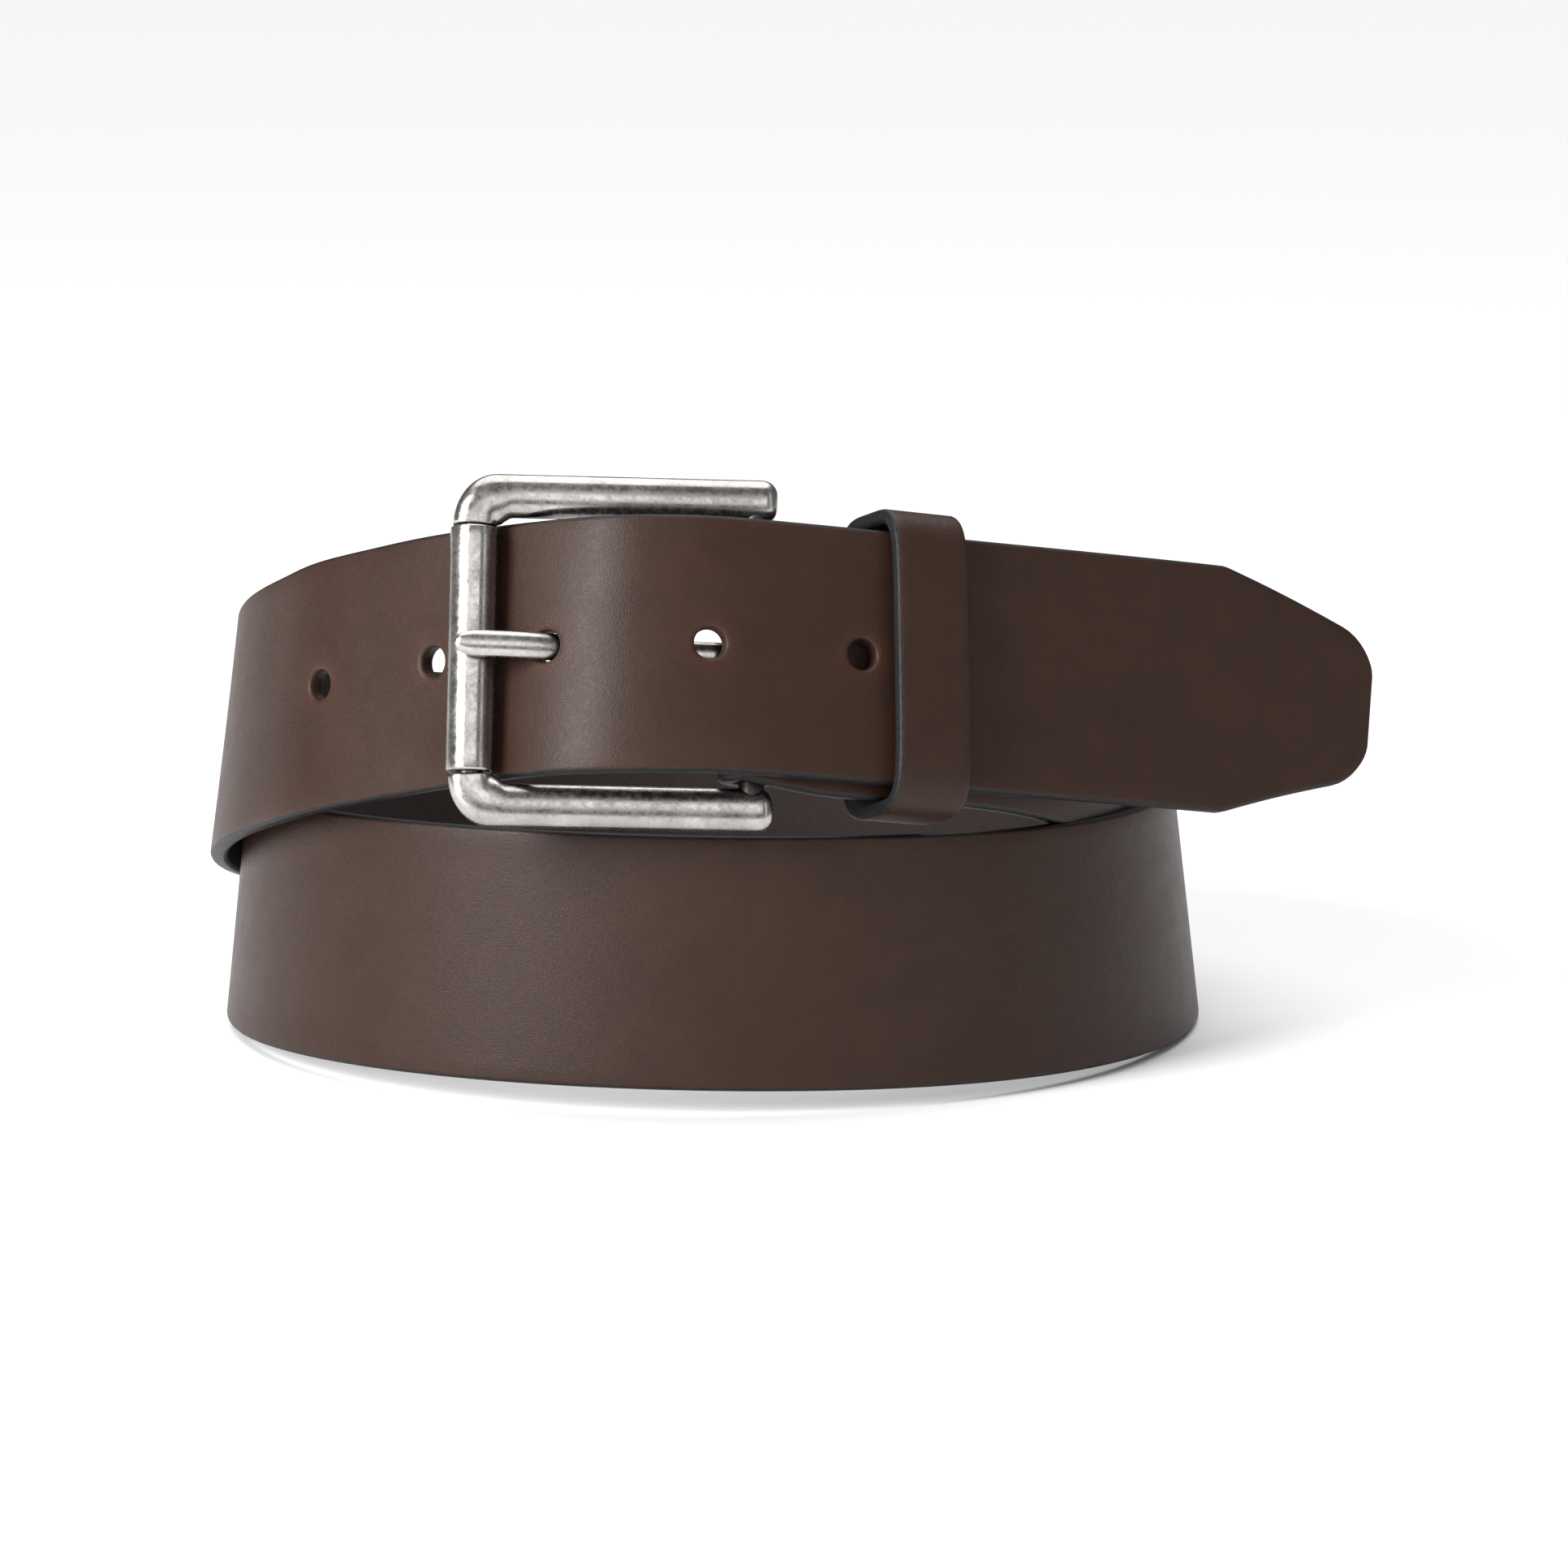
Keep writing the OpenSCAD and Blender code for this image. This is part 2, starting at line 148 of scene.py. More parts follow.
def path_rows():
    """Every row of the curve in order: return flap, fold, inner layer, coil and front."""
    rows = []
    for i in reversed(range(len(INNER_ROWS))):
        side = chord_side(INNER_ROWS, i)
        point = np.array(INNER_ROWS[i][:3]) - side * FLAP_STEPS[i]
        rows.append(leaning_row(point, side, INNER_ROWS[i][3]))
    for angle in FOLD_ANGLES:
        turn = math.radians(angle)
        point = BUCKLE_AT + BUCKLE_AXES @ np.array([math.cos(turn), math.sin(turn), 0]) * FOLD_RADIUS
        rows.append(np.concatenate([point, BUCKLE_AXES[:, 2]]))
    for i, row in enumerate(INNER_ROWS):
        rows.append(leaning_row(row[:3], chord_side(INNER_ROWS, i), row[3]))
    for degrees, radius, height, lean in COIL_ROWS:
        turn = math.radians(degrees)
        side = np.array([math.sin(turn), -math.cos(turn), 0])
        rows.append(leaning_row(side * radius + np.array([0, 0, height]), side, lean))
    for i, row in enumerate(FRONT_ROWS):
        rows.append(leaning_row(row[:3], chord_side(FRONT_ROWS, i), row[3]))
    return np.array(rows)


ROWS = path_rows()
LAST_ROW = len(ROWS) - 1
INNER_START = len(INNER_ROWS) + len(FOLD_ANGLES)
FRONT_START = INNER_START + len(INNER_ROWS) + len(COIL_ROWS)


def control_points(rows):
    """Moved so that the smooth curve meets its rows, with one more point past each end."""
    points = rows.copy()
    points[1:-1] = (8 * rows[1:-1] - rows[:-2] - rows[2:]) / 6
    return np.vstack([2 * points[0] - points[1], points, 2 * points[-1] - points[-2]])


CONTROLS = control_points(ROWS)


def on_curve(t):
    """Rows anywhere on the cubic spline, where whole numbers are the listed rows."""
    t = np.clip(np.atleast_1d(np.asarray(t, float)), 0, LAST_ROW)
    i = np.minimum(t.astype(int), LAST_ROW - 1)
    u = (t - i)[:, None]
    return (
        (1 - u) ** 3 * CONTROLS[i]
        + (3 * u**3 - 6 * u**2 + 4) * CONTROLS[i + 1]
        + (3 * u * (1 + u - u * u) + 1) * CONTROLS[i + 2]
        + u**3 * CONTROLS[i + 3]
    ) / 6


class Path:
    """The strap's centre line by length from the end of the return flap, with its local axes."""

    def __init__(self, samples_per_row=40, slope_step=0.02):
        self.t = np.linspace(0, LAST_ROW, LAST_ROW * samples_per_row + 1)
        self.slope_step = slope_step
        points = on_curve(self.t)[:, :3]
        steps = np.linalg.norm(np.diff(points, axis=0), axis=1)
        self.s = np.concatenate([[0], np.cumsum(steps)])
        self.length = self.s[-1]

    def at_row(self, t):
        return float(np.interp(t, self.t, self.s))

    def axes(self, s):
        """Point, direction along the strap, across it (to the top edge), and out of its grain face."""
        t = np.interp(s, self.s, self.t)
        row = on_curve(t)
        along = unit(on_curve(t + self.slope_step)[:, :3] - on_curve(t - self.slope_step)[:, :3])
        up = row[:, 3:]
        across = unit(up - np.sum(up * along, axis=1, keepdims=True) * along)
        return row[:, :3], along, across, np.cross(along, across)

    def place(self, flat):
        """Moves points from the flat strap (length, height across, height out of the face) onto the path."""
        point, _, across, facing = self.axes(flat[:, 0])
        return point + across * flat[:, 1:2] + facing * flat[:, 2:3]


path = Path()

# ---------------------------------------------------------------- holes, tip and slot

HOLE_PITCH = 25.0
HOLE_RADIUS = 2.4
HOLE_COUNT = 5
HOLES_BEFORE_PRONG = 2
# The prong stretches its own hole and pulls it a little toward the roller.
PRONG_HOLE_STRETCH = 1.02
PRONG_HOLE_PULL = 0.6
# Places on the strap, in rows of the curve after its first front row.
ROWS_TO_PRONG_HOLE = 4.28
ROWS_TO_KEEPER = 10
PRONG_HOLE = path.at_row(FRONT_START + ROWS_TO_PRONG_HOLE)
KEEPER_AT = path.at_row(FRONT_START + ROWS_TO_KEEPER)
HOLES = [PRONG_HOLE + (i - HOLES_BEFORE_PRONG) * HOLE_PITCH for i in range(HOLE_COUNT)]
HOLES[HOLES_BEFORE_PRONG] -= PRONG_HOLE_PULL

TAPER_LENGTH = 29.0
TAPER_DEGREES = 17.0
TAPER_SLOPE = math.tan(math.radians(TAPER_DEGREES))
TIP_CORNER = 6.5
EDGE_RADIUS = 0.8
# The slot for the prong's ring reaches this part of a row past both ends of the fold.
FOLD_SLOT_PAST = 0.34
FOLD_SLOT = (path.at_row(len(INNER_ROWS) - 1 - FOLD_SLOT_PAST), path.at_row(INNER_START + FOLD_SLOT_PAST))


def half_width(s):
    """Half of the strap's width, which narrows to the tip with rounded corners."""
    left = np.maximum(path.length - s, 0)
    corner = np.clip(TIP_CORNER - left, 0, TIP_CORNER)
    cut = TIP_CORNER - np.sqrt(TIP_CORNER**2 - corner**2)
    return STRAP_W / 2 - np.maximum(TAPER_LENGTH - left, 0) * TAPER_SLOPE - cut


def edge_drop(distance):
    """How far the face falls away at a distance from the rounded edge."""
    inside = np.clip(EDGE_RADIUS - distance, 0, EDGE_RADIUS)
    return EDGE_RADIUS - np.sqrt(np.maximum(EDGE_RADIUS**2 - inside**2, 0))


# ---------------------------------------------------------------- mesh building


class Builder:
    """Collects vertices with flat coordinates and a distance to the rim, and faces."""

    def __init__(self):
        self.flat = []
        self.rim = []
        self.faces = []

    def add(self, flat, rim):
        self.flat.append(flat)
        self.rim.append(rim)
        return len(self.flat) - 1

    def loop(self, indices):
        """Leaves out repeated corners, so that a quad may close to a triangle."""
        kept = [v for k, v in enumerate(indices) if v != indices[k - 1]]
        if len(kept) > 2:
            self.faces.append(kept)

    def bridge(self, one, other):
        """A closed band of faces between two rings."""
        count = len(one)
        for k in range(count):
            n = (k + 1) % count
            self.loop([one[k], one[n], other[n], other[k]])


def skin_faces(sections, count, closed=False):
    """Faces between sections of count points each, with two caps unless the run closes on itself."""
    faces = []
    for k in range(sections if closed else sections - 1):
        here = k * count
        ahead = (k + 1) % sections * count
        for j in range(count):
            n = (j + 1) % count
            faces.append([here + j, here + n, ahead + n, ahead + j])
    if not closed:
        faces.append(list(range(count))[::-1])
        faces.append([(sections - 1) * count + j for j in range(count)])
    return faces


def make_piece(name, points_mm, faces, material, smooth=True, flat=None, rim=None):
    """A mesh object; flat holds each point's place on the flat leather, rim its distance to the edge."""
    mesh = bpy.data.meshes.new(name)
    mesh.from_pydata([tuple(p) for p in np.asarray(points_mm) * MM], [], faces)
    mesh.materials.append(material)
    for polygon in mesh.polygons:
        polygon.use_smooth = smooth
    if flat is not None:
        layer = mesh.attributes.new("flat", "FLOAT_VECTOR", "POINT")
        layer.data.foreach_set("vector", np.asarray(flat, np.float32).ravel())
    if rim is not None:
        layer = mesh.attributes.new("rim", "FLOAT", "POINT")
        layer.data.foreach_set("value", np.asarray(rim, np.float32))
    shape = bmesh.new()
    shape.from_mesh(mesh)
    bmesh.ops.recalc_face_normals(shape, faces=shape.faces)
    shape.to_mesh(mesh)
    shape.free()
    piece = bpy.data.objects.new(name, mesh)
    bpy.context.scene.collection.objects.link(piece)
    return piece


# ---------------------------------------------------------------- strap mesh

EDGE_STEPS = (0.0, 0.06, 0.24, 0.5, EDGE_RADIUS)
# Where two rounded edges meet at a corner, the face falls away no further than this.
DEEPEST_DROP = 1.25 * EDGE_RADIUS
# Columns of vertices between the rounded edge and the patches that hold the holes.
FACE_COLUMNS = (-17.0, -14.0, -11.0, -8.5, -6.0)
# A hole sits in a square patch of this half width, with so many steps along each side.
PATCH_HALF = 4.0
PATCH_STEPS = 8
# Distance between stations on the return flap, round the fold, in the coil and along the front,
# and the rows of the curve from which each distance is used.
STATION_STEPS = (1.5, 0.6, 2.0, 1.0)
STATION_ROWS = (0, 2.5, INNER_START + 1, FRONT_START - 2)
STATION_DIGITS = 4
SHORTEST_STEP = 0.3
PATCH_MARGIN = 0.4
EDGE_MARGIN = 0.2
# Stations at the tip: as shares of its rounded corner, and distances just inside its rounded edge.
TIP_SHARES = (0.5, 0.65, 0.8, 1.0, 1.2, 1.5)
TIP_STEPS = (1.1, 1.5, 1.9, 2.4, 2.9)
TIP_MARGIN = 0.05
# From the face down into a hole: the extra radius, and the depth below the face.
LIP = ((1.0, 0.0), (0.62, 0.03), (0.32, 0.13), (0.12, 0.3), (0.0, 0.62))
TINY = 1e-6


def column_layout():
    """Heights across the full-width strap at which every station has a vertex."""
    lower = [d - STRAP_W / 2 for d in EDGE_STEPS] + list(FACE_COLUMNS)
    patch = list(np.linspace(-PATCH_HALF, PATCH_HALF, PATCH_STEPS + 1))
    return np.array(lower + patch + [-v for v in reversed(lower)])


COLUMNS = column_layout()
PATCH_FIRST = list(COLUMNS).index(-PATCH_HALF)
PATCH_LAST = PATCH_FIRST + PATCH_STEPS
SLOT_FIRST = PATCH_FIRST + 1
SLOT_LAST = PATCH_LAST - 1


def holes_between(start, end):
    return [hole for hole in HOLES if start + PATCH_HALF < hole < end - PATCH_HALF]


def without(stations, low, high):
    """The stations outside a stretch of the strap."""
    return [s for s in stations if s < low or s > high]


def even_stations(start, end):
    """Stations at the step that fits each part of the strap."""
    begins = [path.at_row(row) for row in STATION_ROWS]
    stations = []
    s = start
    while s < end - SHORTEST_STEP:
        stations.append(s)
        s += [step for begin, step in zip(begins, STATION_STEPS) if begin <= s + TINY][-1]
    return stations + [end]


def with_tip(stations):
    """Closer stations where the tip's corners curve in."""
    tip = path.length
    corner = [share * TIP_CORNER for share in TIP_SHARES]
    stations = without(stations, tip - corner[-1], tip - corner[0])
    stations = without(stations, tip - corner[0], tip - EDGE_RADIUS - TIP_MARGIN)
    return stations + [tip - d for d in corner + list(TIP_STEPS)]


def stations_between(start, end, rounded):
    """Lengths at which the strap has vertices: closer at the fold, the holes and the rounded ends."""
    stations = even_stations(start, end)
    for hole in holes_between(start, end):
        reach = PATCH_HALF + PATCH_MARGIN
        stations = without(stations, hole - reach, hole + reach)
        stations += list(np.linspace(hole - PATCH_HALF, hole + PATCH_HALF, PATCH_STEPS + 1))
    for place, inward in rounded:
        reach = EDGE_RADIUS + EDGE_MARGIN
        stations = without(stations, place - reach, place + reach)
        stations += [place + inward * d for d in EDGE_STEPS]
    if end == path.length:
        stations = with_tip(stations)
    return sorted(set(round(s, STATION_DIGITS) for s in stations))


def across_heights(s):
    """The columns at one station, squeezed where the strap narrows, and their distance from the edge."""
    half = float(half_width(s))
    flat_half = STRAP_W / 2 - EDGE_RADIUS
    inner = COLUMNS * (half - EDGE_RADIUS) / flat_half
    from_edge = STRAP_W / 2 - np.abs(COLUMNS)
    edge = np.sign(COLUMNS) * (half - from_edge)
    return np.where(from_edge < EDGE_RADIUS + TINY, edge, inner), from_edge


def face_grids(build, stations, rounded):
    """The side and the vertices of the grain face, then of the flesh face."""
    grids = []
    for side in (1, -1):
        grid = []
        for s in stations:
            heights, from_edge = across_heights(s)
            ends = [(s - place) * inward for place, inward in rounded]
            row = []
            for v, edge in zip(heights, from_edge):
                drop = edge_drop(edge) + sum(edge_drop(d) for d in ends)
                height = side * max(STRAP_T / 2 - drop, STRAP_T / 2 - DEEPEST_DROP)
                row.append(build.add((s, v, height), min([edge] + ends)))
            grid.append(row)
        grids.append((side, grid))
    return grids


def slot_stations(stations):
    """The stations over which the strap is slotted for the prong's ring, if it has them."""
    inside = [k for k, s in enumerate(stations) if FOLD_SLOT[0] <= s <= FOLD_SLOT[1]]
    return range(inside[0], inside[-1]) if inside else range(0)


def add_faces(build, stations, top, bottom, holes, slot):
    """Both faces, both edges and the slot's long walls; the slot and the holes' patches stay open."""
    for i in range(len(stations) - 1):
        middle = (stations[i] + stations[i + 1]) / 2
        in_hole = any(abs(middle - hole) < PATCH_HALF for hole in holes)
        for j in range(len(COLUMNS) - 1):
            if in_hole and PATCH_FIRST <= j < PATCH_LAST:
                continue
            if i in slot and SLOT_FIRST <= j < SLOT_LAST:
                continue
            build.loop([top[i][j], top[i + 1][j], top[i + 1][j + 1], top[i][j + 1]])
            build.loop([bottom[i][j], bottom[i][j + 1], bottom[i + 1][j + 1], bottom[i + 1][j]])
        build.loop([top[i][0], bottom[i][0], bottom[i + 1][0], top[i + 1][0]])
        build.loop([top[i][-1], top[i + 1][-1], bottom[i + 1][-1], bottom[i][-1]])
        if i in slot:
            for j, order in ((SLOT_FIRST, 1), (SLOT_LAST, -1)):
                wall = [top[i][j], top[i + 1][j], bottom[i + 1][j], bottom[i][j]]
                build.loop(wall[::order])


def add_wall(build, top, bottom, i, columns, order):
    """Closes the leather through its thickness at one station."""
    for j in columns:
        wall = [top[i][j], top[i][j + 1], bottom[i][j + 1], bottom[i][j]]
        build.loop(wall[::order])


def ring_points(hole, radius_along, radius_across):
    """Points round a hole, one in line with each vertex on the border of its patch."""
    steps = np.linspace(-PATCH_HALF, PATCH_HALF, PATCH_STEPS + 1)
    border = [(-PATCH_HALF, v) for v in steps[:-1]]
    border += [(u, PATCH_HALF) for u in steps[:-1]]
    border += [(PATCH_HALF, v) for v in steps[:0:-1]]
    border += [(u, -PATCH_HALF) for u in steps[:0:-1]]
    turns = [math.atan2(v, u) for u, v in border]
    return [(hole + radius_along * math.cos(t), radius_across * math.sin(t)) for t in turns]


def patch_border(grid, first):
    """The vertices round a patch, in the order of ring_points."""
    last = first + PATCH_STEPS
    border = [grid[first][j] for j in range(PATCH_FIRST, PATCH_LAST)]
    border += [grid[i][PATCH_LAST] for i in range(first, last)]
    border += [grid[last][j] for j in range(PATCH_LAST, PATCH_FIRST, -1)]
    border += [grid[i][PATCH_FIRST] for i in range(last, first, -1)]
    return border


def add_hole(build, hole, grids, first_station):
    """Joins a round, softly lipped hole to the patches left open in both faces."""
    stretch = PRONG_HOLE_STRETCH if hole == HOLES[HOLES_BEFORE_PRONG] else 1.0
    walls = []
    for side, grid in grids:
        ring = patch_border(grid, first_station)
        for grow, drop in LIP:
            radius = HOLE_RADIUS + grow
            height = side * (STRAP_T / 2 - drop)
            points = ring_points(hole, radius * stretch, radius)
            inner = [build.add((s, v, height), STRAP_W / 2 - abs(v)) for s, v in points]
            build.bridge(ring, inner)
            ring = inner
        walls.append(ring)
    build.bridge(walls[0], walls[1])


def leather_strip(name, start, end, material, rounded):
    """One length of the strap, where rounded holds (place, way inward) for each end with a rounded edge."""
    build = Builder()
    stations = stations_between(start, end, rounded)
    grids = face_grids(build, stations, rounded)
    top, bottom = (grid for _, grid in grids)
    holes = holes_between(start, end)
    slot = slot_stations(stations)
    add_faces(build, stations, top, bottom, holes, slot)
    add_wall(build, top, bottom, 0, range(len(COLUMNS) - 1), 1)
    add_wall(build, top, bottom, len(stations) - 1, range(len(COLUMNS) - 1), -1)
    if len(slot):
        add_wall(build, top, bottom, slot[0], range(SLOT_FIRST, SLOT_LAST), -1)
        add_wall(build, top, bottom, slot[-1] + 1, range(SLOT_FIRST, SLOT_LAST), 1)
    for hole in holes:
        first = min(range(len(stations)), key=lambda k: abs(stations[k] - (hole - PATCH_HALF)))
        add_hole(build, hole, grids, first)
    flat = np.array(build.flat)
    return make_piece(name, path.place(flat), build.faces, material, flat=flat * MM, rim=build.rim)


# ---------------------------------------------------------------- materials


class Nodes:
    """Short calls for building a node tree."""

    def __init__(self, name):
        self.material = bpy.data.materials.new(name)
        self.material.use_nodes = True
        self.tree = self.material.node_tree
        self.shader = self.tree.nodes["Principled BSDF"]

    def new(self, kind, inputs=None, **settings):
        node = self.tree.nodes.new(kind)
        for key, value in settings.items():
            setattr(node, key, value)
        for key, value in (inputs or {}).items():
            self.put(node.inputs[key], value)
        return node

    def put(self, socket, value):
        if isinstance(value, bpy.types.NodeSocket):
            self.tree.links.new(value, socket)
        else:
            socket.default_value = value

    def math(self, operation, a, b=0.0):
        return self.new("ShaderNodeMath", {0: a, 1: b}, operation=operation).outputs[0]

    def mix(self, factor, a, b):
        """Colour a at factor 0, colour b at factor 1."""
        node = self.new("ShaderNodeMix", data_type="RGBA")
        self.put(node.inputs[0], factor)
        self.put(node.inputs[6], a)
        self.put(node.inputs[7], b)
        return node.outputs[2]

    def noise(self, vector, scale, detail=3.0, roughness=0.55, distortion=0.0):
        """Soft noise around a half, with scale as cells in a metre."""
        inputs = {"Vector": vector, "Scale": scale, "Detail": detail}
        inputs.update({"Roughness": roughness, "Distortion": distortion})
        return self.new("ShaderNodeTexNoise", inputs).outputs["Fac"]

    def ramp(self, value, low, high, to_low=0.0, to_high=1.0):
        """A soft step from to_low to to_high, while the value goes from low to high."""
        inputs = {"Value": value, "From Min": low, "From Max": high, "To Min": to_low, "To Max": to_high}
        return self.new("ShaderNodeMapRange", inputs, interpolation_type="SMOOTHSTEP").outputs[0]

    def attribute(self, name, output):
        return self.new("ShaderNodeAttribute", attribute_name=name).outputs[output]

    def bump(self, height, strength, distance_mm, normal=None):
        inputs = {"Height": height, "Strength": strength, "Distance": distance_mm * MM}
        if normal is not None:
            inputs["Normal"] = normal
        return self.new("ShaderNodeBump", inputs).outputs[0]

    def set(self, **values):
        for key, value in values.items():
            self.put(self.shader.inputs[key.replace("_", " ")], value)


def rgb(r, g, b):
    return (r, g, b, 1.0)


# The darkest brown serves the grain's own darker clouds and pores, and also the painted shade inside the
# holes.
GRAIN_DARK_AND_SHADE = rgb(0.0255, 0.0116, 0.0075)
GRAIN_MID = rgb(0.0305, 0.0140, 0.0091)
GRAIN_WARM = rgb(0.050, 0.0188, 0.0110)
FLESH = rgb(0.036, 0.027, 0.026)
EDGE_PAINT = rgb(0.0052, 0.0052, 0.0062)
EDGE_PAINT_WORN = rgb(0.0100, 0.0100, 0.0118)
LEATHER_SPECULAR = 0.22
# Heights in the leather between which the dyed grain gives way to the flesh side.
FLESH_HEIGHTS = (-0.5, -1.2)
# Outer radius of the worn ring round a hole, and the radii over which painted shade darkens the face into
# the wall.
HALO_RADIUS = 6.5
WALL_SHADE_RADII = (2.75, 2.5)
# Share of its full colour that the metal keeps where it is worn.
WORN_SHARE = 0.75


def hole_distance(n, along, across):
    """Distance from the centre of the nearest hole, by the flat coordinates."""
    from_first = n.math("SUBTRACT", along, HOLES[0] * MM)
    count = n.math("ROUND", n.math("DIVIDE", from_first, HOLE_PITCH * MM))
    count = n.math("MINIMUM", n.math("MAXIMUM", count, 0.0), HOLE_COUNT - 1.0)
    from_hole = n.math("SUBTRACT", from_first, n.math("MULTIPLY", count, HOLE_PITCH * MM))
    squares = n.math("ADD", n.math("MULTIPLY", from_hole, from_hole), n.math("MULTIPLY", across, across))
    return n.math("SQRT", squares)


def grain_tone(n, flat, cells, patches):
    """The dyed grain: soft clouds of two browns, warmer patches and darker pores."""
    clouds = n.noise(flat, scale=70.0, detail=4.0, roughness=0.6, distortion=0.4)
    tone = n.mix(n.ramp(clouds, 0.35, 0.68), GRAIN_DARK_AND_SHADE, GRAIN_MID)
    tone = n.mix(n.ramp(patches, 0.4, 0.75, 0.0, 0.15), tone, GRAIN_WARM)
    return n.mix(n.ramp(cells, 0.22, 0.0, 0.0, 0.35), tone, GRAIN_DARK_AND_SHADE)


def tone_round_holes(n, tone, along, across):
    """A warm worn ring round every hole, and painted shade that darkens the wall inside it."""
    away = hole_distance(n, along, across)
    halo = n.ramp(away, HALO_RADIUS * MM, HOLE_RADIUS * MM, 0.0, 0.35)
    # Painted shade: the wall inside each hole is darkened toward the darkest grain colour.
    wall = n.ramp(away, WALL_SHADE_RADII[0] * MM, WALL_SHADE_RADII[1] * MM, 0.0, 0.7)
    return n.mix(wall, n.mix(halo, tone, GRAIN_WARM), GRAIN_DARK_AND_SHADE)


def leather_normal(n, flat, cells, flesh_noise, flesh_mask):
    """The surface normal of the leather: creases, pores, and loose fibres on the flesh side."""
    creases = n.noise(flat, scale=900.0, detail=5.0, roughness=0.6)
    pores = n.math("MULTIPLY", n.noise(flat, scale=3800.0, detail=2.0), 0.5)
    grain = n.math("ADD", n.math("MULTIPLY", n.ramp(cells, 0.0, 0.25), 0.6), pores)
    fibres = n.math("MULTIPLY", flesh_noise, n.math("MULTIPLY", flesh_mask, 1.6))
    creased = n.bump(creases, strength=0.30, distance_mm=0.12)
    return n.bump(n.math("ADD", grain, fibres), strength=0.45, distance_mm=0.06, normal=creased)


def leather_material(name, with_holes):
    """Smooth full-grain leather by flat coordinates: dyed grain, flesh side and painted edges."""
    n = Nodes(name)
    flat = n.attribute("flat", "Vector")
    rim = n.attribute("rim", "Fac")
    split = n.new("ShaderNodeSeparateXYZ", {0: flat}).outputs
    cells = n.new(
        "ShaderNodeTexVoronoi", {"Vector": flat, "Scale": 2600.0, "Randomness": 1.0},
        feature="DISTANCE_TO_EDGE",
    ).outputs["Distance"]
    patches = n.noise(flat, scale=260.0, detail=4.0)
    tone = grain_tone(n, flat, cells, patches)
    if with_holes:
        tone = tone_round_holes(n, tone, split[0], split[1])
    flesh_mask = n.ramp(split[2], FLESH_HEIGHTS[0] * MM, FLESH_HEIGHTS[1] * MM)
    flesh_noise = n.noise(flat, scale=1500.0, detail=6.0, roughness=0.7)
    flesh = n.mix(n.ramp(flesh_noise, 0.3, 0.7, 0.0, 0.5), FLESH, GRAIN_DARK_AND_SHADE)
    tone = n.mix(flesh_mask, tone, flesh)
    edge_noise = n.noise(flat, scale=420.0, detail=3.0)
    wander = n.math("MULTIPLY", n.math("SUBTRACT", edge_noise, 0.5), 0.5)
    edge_mask = n.ramp(n.math("ADD", rim, wander), 0.55, 0.35)
    paint_wear = n.ramp(n.noise(flat, scale=1100.0, detail=4.0), 0.35, 0.7)
    edge_tone = n.mix(paint_wear, EDGE_PAINT, EDGE_PAINT_WORN)
    tone = n.mix(edge_mask, tone, edge_tone)
    roughness = n.ramp(patches, 0.3, 0.7, 0.40, 0.44)
    roughness = n.math("ADD", roughness, n.math("MULTIPLY", flesh_mask, 0.25))
    roughness = n.math("ADD", roughness, n.math("MULTIPLY", edge_mask, 0.06))
    normal = leather_normal(n, flat, cells, flesh_noise, flesh_mask)
    n.set(Base_Color=tone, Roughness=roughness, Normal=normal, Specular_IOR_Level=LEATHER_SPECULAR)
    return n.material


def metal_material(name, light, dark_tone_and_shade, base_roughness):
    """Aged metal: soft mottling, fine scratches, and darkening wherever surfaces come close: a dark patina
    in the recesses, and painted shade between parts.
    """
    n = Nodes(name)
    where = n.new("ShaderNodeTexCoord").outputs["Object"]
    mottle = n.noise(where, scale=900.0, detail=6.0, roughness=0.7)
    wear = n.noise(where, scale=130.0, detail=3.0, roughness=0.5)
    speckle = n.noise(where, scale=4200.0, detail=4.0, roughness=0.65)
    stretched = n.new("ShaderNodeMapping", {"Vector": where, "Scale": (700.0, 700.0, 9000.0)}).outputs[0]
    scratches = n.noise(stretched, scale=1.0, detail=3.0, roughness=0.6)
    # Patina and painted shade: the metal darkens toward its dark colour wherever any surface lies within 2.5
    # mm, its own hollows or another part such as the strap.
    patina_and_contact_shade = n.new("ShaderNodeAmbientOcclusion", {"Distance": 2.5 * MM}, samples=8).outputs["AO"]
    worn = rgb(*(WORN_SHARE * c for c in light[:3]))
    tone = n.mix(n.ramp(wear, 0.38, 0.62), light, worn)
    tone = n.mix(n.ramp(mottle, 0.45, 0.70, 0.0, 0.20), tone, dark_tone_and_shade)
    tone = n.mix(n.ramp(speckle, 0.56, 0.75, 0.0, 0.22), tone, dark_tone_and_shade)
    tone = n.mix(n.ramp(patina_and_contact_shade, 0.75, 0.25), tone, dark_tone_and_shade)
    roughness = n.ramp(mottle, 0.3, 0.7, base_roughness - 0.06, base_roughness + 0.10)
    height = n.math("ADD", n.math("MULTIPLY", speckle, 0.6), n.math("MULTIPLY", scratches, 0.35))
    height = n.math("ADD", height, n.math("MULTIPLY", mottle, 0.6))
    normal = n.bump(height, strength=0.11, distance_mm=0.03)
    n.set(Base_Color=tone, Roughness=roughness, Metallic=1.0, Normal=normal)
    return n.material


def stage_material(name, grey):
    n = Nodes(name)
    n.set(Base_Color=rgb(grey, grey, grey), Roughness=0.9)
    return n.material


strap_leather = leather_material("strap_leather", True)
keeper_leather = leather_material("keeper_leather", False)
aged_nickel = metal_material("aged_nickel", rgb(0.46, 0.438, 0.418), rgb(0.055, 0.05, 0.045), 0.24)
# Nearly black steel for the hidden fittings: painted shade for where they sit inside the fold and the
# keeper.
bar_steel = metal_material("bar_steel", rgb(0.07, 0.065, 0.06), rgb(0.02, 0.018, 0.016), 0.40)

# ---------------------------------------------------------------- leather pieces

